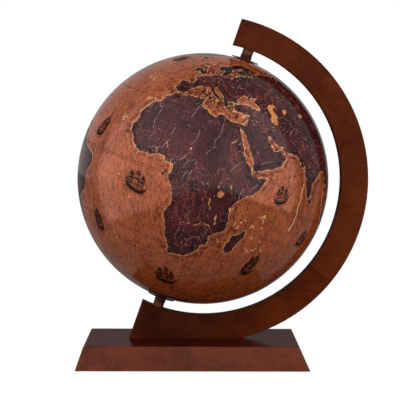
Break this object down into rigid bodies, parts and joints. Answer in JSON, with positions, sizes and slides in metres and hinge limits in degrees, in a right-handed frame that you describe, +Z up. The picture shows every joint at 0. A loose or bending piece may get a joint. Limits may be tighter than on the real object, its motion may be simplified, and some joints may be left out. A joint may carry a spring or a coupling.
{
  "type": "terrestrial globe",
  "caption": "Desk globe with an antique-style printed ball that turns on a slanted axle in a flat wooden arc on a bevelled rectangular base.",
  "frame": {"origin": "middle of the base's underside, on the surface that it stands on", "axes": "+Z up, +X from the middle of the base towards the arc, +Y from the pictured side to the back"},
  "size_m": [0.3475, 0.2998, 0.4113],
  "materials": {
    "stained_wood": "reddish-brown stained hardwood, satin lacquer",
    "plain_wood": "plain beech, unfinished",
    "steel": "drawn steel",
    "bronzed_metal": "bronze-brown coating, satin",
    "dark_metal": "dark plum-brown coating, satin",
    "dark_plastic": "dark brown, slightly glossy",
    "nylon": "black nylon",
    "ball_board": "pressed grey-brown board",
    "printed_paper": "printed in terracotta and plum, wrinkled, varnished",
    "felt": "dark green felt"
  },
  "bodies": {
    "stand": {"felt_sheet": "felt", "base_plinth": "stained_wood", "foot_block": "stained_wood", "lower_arc_segment": "stained_wood", "middle_arc_segment": "stained_wood", "upper_arc_segment": "stained_wood", "arc_tip": "stained_wood", "arc_dowels": "plain_wood", "foot_dowels": "plain_wood", "foot_screws": "steel", "screw_washers": "steel", "axle_rod": "steel", "tip_plug": "stained_wood", "upper_spacer": "bronzed_metal", "lower_spacer": "bronzed_metal", "upper_thrust_washer": "nylon", "lower_thrust_washer": "nylon"},
    "ball": {"northern_hemisphere": "ball_board", "southern_hemisphere": "ball_board", "equator_ring": "ball_board", "map_gores": "printed_paper", "north_pole_disc": "dark_metal", "south_pole_disc": "dark_metal", "north_pole_bush": "dark_plastic", "south_pole_bush": "dark_plastic", "north_backing_block": "plain_wood", "south_backing_block": "plain_wood", "north_bush_nut": "steel", "south_bush_nut": "steel"}
  },
  "joints": [
    {"name": "globe_spin", "type": "hinge", "parent": "stand", "child": "ball", "pos_m": [0.01209, 0, 0.22083], "axis": [0.3289, 0, 0.9444], "continuous": true}
  ]
}
